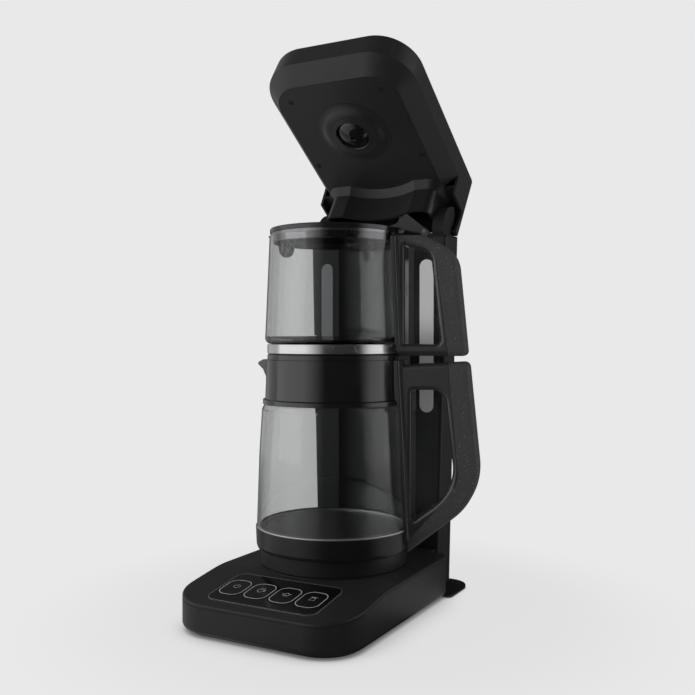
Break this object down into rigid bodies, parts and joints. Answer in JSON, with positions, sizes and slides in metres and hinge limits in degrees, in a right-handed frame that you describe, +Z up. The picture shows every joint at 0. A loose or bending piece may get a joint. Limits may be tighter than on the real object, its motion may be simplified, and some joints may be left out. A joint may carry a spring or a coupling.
{
  "type": "automatic tea maker",
  "caption": "Automatic tea maker: glass teapot on a glass kettle, stacked on a powered base with a slanted key panel, and a rear column whose hinged head tilts up",
  "frame": {"origin": "middle of the underside of the whole object, at the level of the surface the feet rest on", "axes": "+Z up, the keys face -Y, the handles point to +X and a little back"},
  "size_m": [0.2288, 0.3048, 0.5371],
  "materials": {
    "body_grey": "dark grey moulded plastic with a fine satin texture",
    "black_gloss": "glossy black plastic",
    "black_satin": "satin black plastic",
    "collar_black": "smooth dark plastic",
    "grip_speckle": "dark grey soft-touch plastic with fine pale speckles",
    "skirt_grey": "dark satin plastic",
    "key_black": "glossy black key caps with pale outlines",
    "trim_pale": "thin pale metal outline",
    "strip_pale": "pale translucent strips",
    "glass_clear": "clear borosilicate glass",
    "steel_bright": "polished stainless steel",
    "steel_plain": "plain steel",
    "brass_plain": "plain brass",
    "silicone_black": "black silicone",
    "hose_silicone": "pale silicone hose",
    "inner_white": "plain white plastic",
    "motor_steel": "zinc-plated steel can",
    "board_green": "green circuit board with parts"
  },
  "bodies": {
    "base": {"bottom_plate": "black_satin", "base_feet": "silicone_black", "base_screws": "steel_plain", "base_shell": "body_grey", "deck_cover": "body_grey", "dock_plate": "black_satin", "control_panel": "black_gloss", "panel_trim": "trim_pale", "control_board": "board_green", "power_connector": "black_satin", "water_port": "inner_white", "pump_motor": "motor_steel", "pump_head": "inner_white", "inlet_hose": "hose_silicone", "riser_hose": "hose_silicone", "power_board": "board_green", "column_front": "body_grey", "column_back": "body_grey", "column_screws": "steel_plain", "cord_gland": "silicone_black", "light_strip_left": "strip_pale", "light_strip_right": "strip_pale", "hinge_housing": "black_satin", "hinge_pins": "steel_plain", "hinge_washers": "steel_plain"},
    "head": {"head_cover": "body_grey", "head_plate": "black_gloss", "head_hood": "black_gloss", "head_screws": "steel_plain", "nozzle_ring": "steel_bright", "nozzle_dome": "black_gloss", "head_hose": "hose_silicone"},
    "kettle": {"kettle_under": "black_satin", "kettle_skirt": "skirt_grey", "kettle_rim_plate": "steel_bright", "heater_plate": "steel_bright", "kettle_valve": "inner_white", "kettle_thermostat": "inner_white", "kettle_contact": "brass_plain", "kettle_gasket": "silicone_black", "kettle_glass": "glass_clear", "kettle_collar": "collar_black", "kettle_handle_frame": "collar_black", "kettle_handle_grip": "grip_speckle", "kettle_pads": "silicone_black"},
    "kettle_lid": {"kettle_lid": "black_satin"},
    "teapot": {"teapot_band": "steel_bright", "teapot_glass": "glass_clear", "teapot_rim": "steel_bright", "teapot_strainer": "steel_bright", "teapot_handle_frame": "collar_black", "teapot_handle_grip": "grip_speckle", "lid_pin": "steel_plain"},
    "teapot_lid": {"teapot_lid": "black_satin", "thumb_tab": "black_satin"},
    "key_1": {"key_1": "key_black"},
    "key_2": {"key_2": "key_black"},
    "key_3": {"key_3": "key_black"},
    "key_4": {"key_4": "key_black"}
  },
  "joints": [
    {"name": "head_hinge", "type": "hinge", "parent": "base", "child": "head", "pos_m": [-0.02194, 0.10838, 0.365], "axis": [-1, 0, 0], "range_deg": [-34.3, 0]},
    {"name": "kettle_lift", "type": "slide", "parent": "base", "child": "kettle", "axis": [0, -0.6, 0.8], "range_m": [0, 0.38]},
    {"name": "kettle_lid_lift", "type": "slide", "parent": "kettle", "child": "kettle_lid", "axis": [0, -0.6, 0.8], "range_m": [0, 0.34]},
    {"name": "teapot_lift", "type": "slide", "parent": "kettle_lid", "child": "teapot", "axis": [0, -0.6, 0.8], "range_m": [0, 0.34]},
    {"name": "teapot_lid_hinge", "type": "hinge", "parent": "teapot", "child": "teapot_lid", "pos_m": [0.06306, 0.01336, 0.3544], "axis": [-0.2588, 0.9659, 0], "range_deg": [0, 40]},
    {"name": "key_1_press", "type": "slide", "parent": "base", "child": "key_1", "axis": [0, 0.1513, -0.9885], "range_m": [0, 0.0008], "stiffness_N_per_m": 1200, "springref_m": -0.0006},
    {"name": "key_2_press", "type": "slide", "parent": "base", "child": "key_2", "axis": [0, 0.1513, -0.9885], "range_m": [0, 0.0008], "stiffness_N_per_m": 1200, "springref_m": -0.0006},
    {"name": "key_3_press", "type": "slide", "parent": "base", "child": "key_3", "axis": [0, 0.1513, -0.9885], "range_m": [0, 0.0008], "stiffness_N_per_m": 1200, "springref_m": -0.0006},
    {"name": "key_4_press", "type": "slide", "parent": "base", "child": "key_4", "axis": [0, 0.1513, -0.9885], "range_m": [0, 0.0008], "stiffness_N_per_m": 1200, "springref_m": -0.0006}
  ]
}
